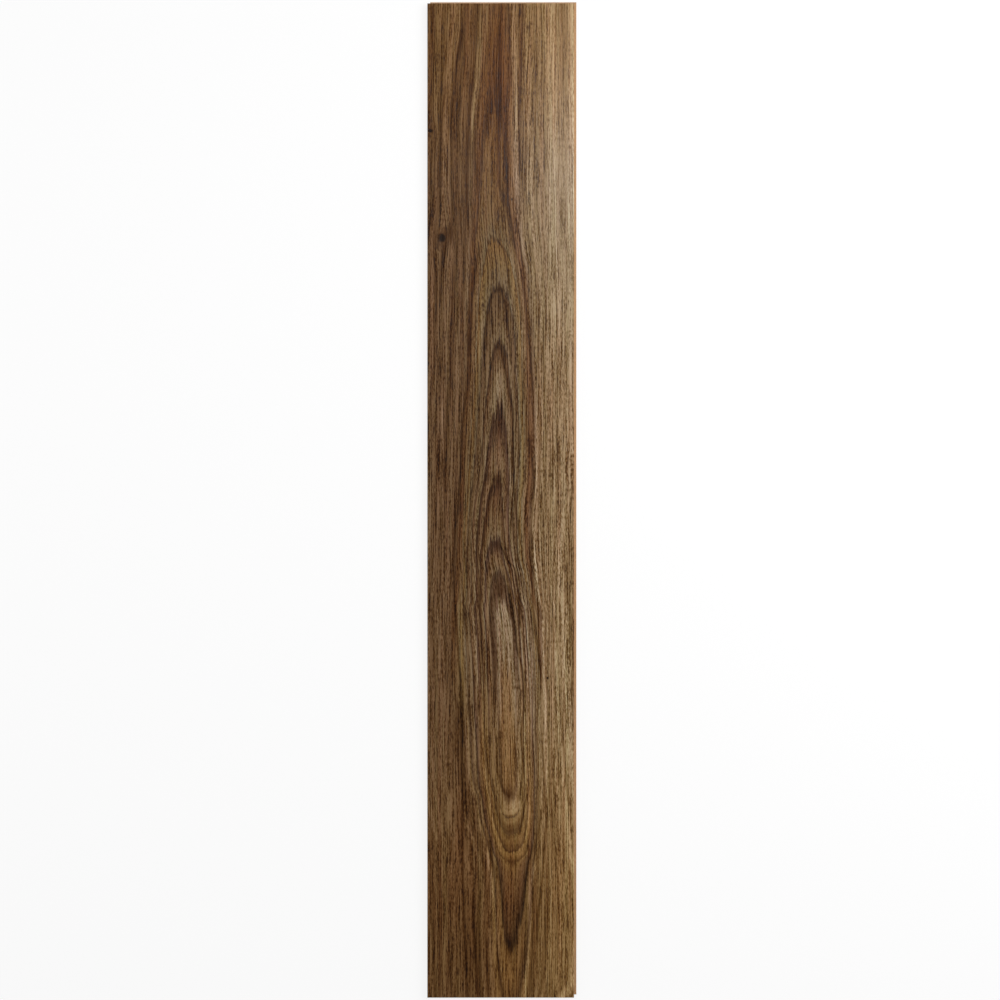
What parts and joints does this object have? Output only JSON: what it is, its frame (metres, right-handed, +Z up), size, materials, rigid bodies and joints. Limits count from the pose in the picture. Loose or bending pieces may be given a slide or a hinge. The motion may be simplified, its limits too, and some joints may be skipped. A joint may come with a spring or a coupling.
{
  "type": "laminate floor plank",
  "caption": "Flat rectangular laminate floor plank with a walnut print and a snap-together tongue and groove milled round its sides.",
  "frame": {"origin": "on the underside, under the middle of the printed face", "axes": "+X across the plank towards the long tongue, +Y along the plank towards the end tongue, +Z up out of the printed face"},
  "size_m": [0.1932, 1.2908, 0.008],
  "materials": {
    "walnut_laminate": "satin"
  },
  "bodies": {
    "root": {"plank": "walnut_laminate"}
  },
  "joints": []
}
